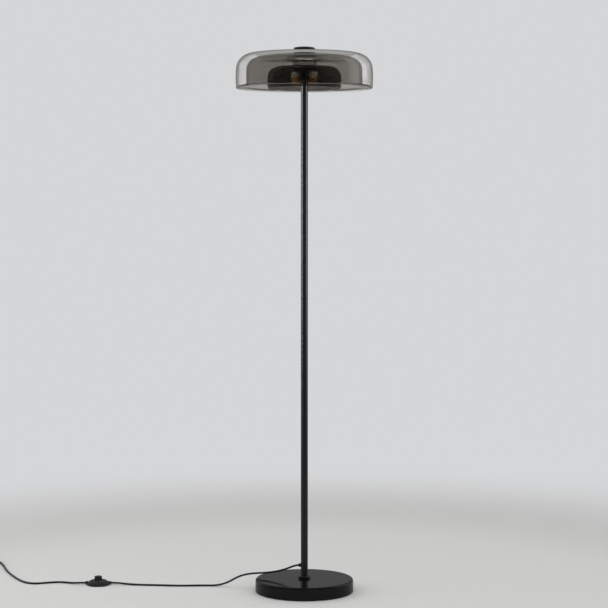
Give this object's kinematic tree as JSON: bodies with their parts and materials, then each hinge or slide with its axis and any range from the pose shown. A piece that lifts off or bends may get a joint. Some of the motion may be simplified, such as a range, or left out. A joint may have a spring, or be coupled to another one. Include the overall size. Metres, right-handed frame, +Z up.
{
  "type": "floor lamp",
  "caption": "Floor lamp: slim black pole on a round polished stone base, nested clear, smoked and dark glass shades, foot switch on the cord.",
  "frame": {"origin": "on the floor, under the middle of the base", "axes": "+Z up along the pole, the cord leaves towards -X, the front looks along -Y"},
  "size_m": [1.2181, 0.6447, 1.5503],
  "materials": {
    "polished_stone": "polished black",
    "grey_felt": "pressed felt",
    "black_metal": "satin black",
    "bare_steel": "machined",
    "mirror_metal": "polished",
    "copper_metal": "satin copper",
    "brass_metal": "plain",
    "clear_glass": "clear, gloss",
    "smoked_glass": "smoked, gloss",
    "dark_glass": "dark smoked, gloss",
    "frosted_glass": "frosted",
    "white_ceramic": "matt",
    "cord_sheath": "satin black",
    "switch_plastic": "fine grain, black",
    "inner_plastic": "plain",
    "black_rubber": "matt"
  },
  "bodies": {
    "lamp": {"base_disc": "polished_stone", "base_felt": "grey_felt", "base_collar": "black_metal", "pole_lower": "black_metal", "pole_middle": "black_metal", "pole_upper": "black_metal", "support_plate": "black_metal", "neck_ring": "black_metal", "top_cap": "black_metal", "base_washer": "bare_steel", "base_nut": "bare_steel", "base_stud": "bare_steel", "lower_coupler": "bare_steel", "upper_coupler": "bare_steel", "pole_foot_insert": "bare_steel", "pole_top_insert": "bare_steel", "stem_nipple": "bare_steel", "clamp_washer": "bare_steel", "clamp_nut": "bare_steel", "bridge_grub_screw": "bare_steel", "lamp_pins": "bare_steel", "switch_screws": "bare_steel", "switch_spring": "bare_steel", "neck_spacer": "mirror_metal", "lamp_bridge": "copper_metal", "lamp_holders": "copper_metal", "holder_rivets": "copper_metal", "switch_contacts": "brass_metal", "plug_pins": "brass_metal", "outer_glass_shade": "clear_glass", "middle_glass_shade": "smoked_glass", "inner_glass_dome": "dark_glass", "capsule_lamps": "frosted_glass", "holder_inserts": "white_ceramic", "lamp_feet": "white_ceramic", "pole_cable": "cord_sheath", "lamp_leads": "cord_sheath", "cord_to_switch": "cord_sheath", "cord_to_coil": "cord_sheath", "cord_to_plug": "cord_sheath", "cord_coil": "cord_sheath", "switch_cord_ends": "cord_sheath", "cord_grommet": "cord_sheath", "switch_housing": "switch_plastic", "switch_cover": "switch_plastic", "plug_body": "switch_plastic", "terminal_block": "inner_plastic", "switch_contact_block": "inner_plastic", "dome_gaskets": "black_rubber", "middle_gaskets": "black_rubber", "outer_gaskets": "black_rubber", "switch_feet": "black_rubber", "coil_tie": "black_rubber"},
    "button": {"switch_button": "switch_plastic"}
  },
  "joints": [
    {"name": "switch_press", "type": "slide", "parent": "lamp", "child": "button", "axis": [0, 0, -1], "range_m": [0, 0.0035], "stiffness_N_per_m": 1200, "springref_m": -0.004, "deforming": ["switch_spring"]}
  ]
}
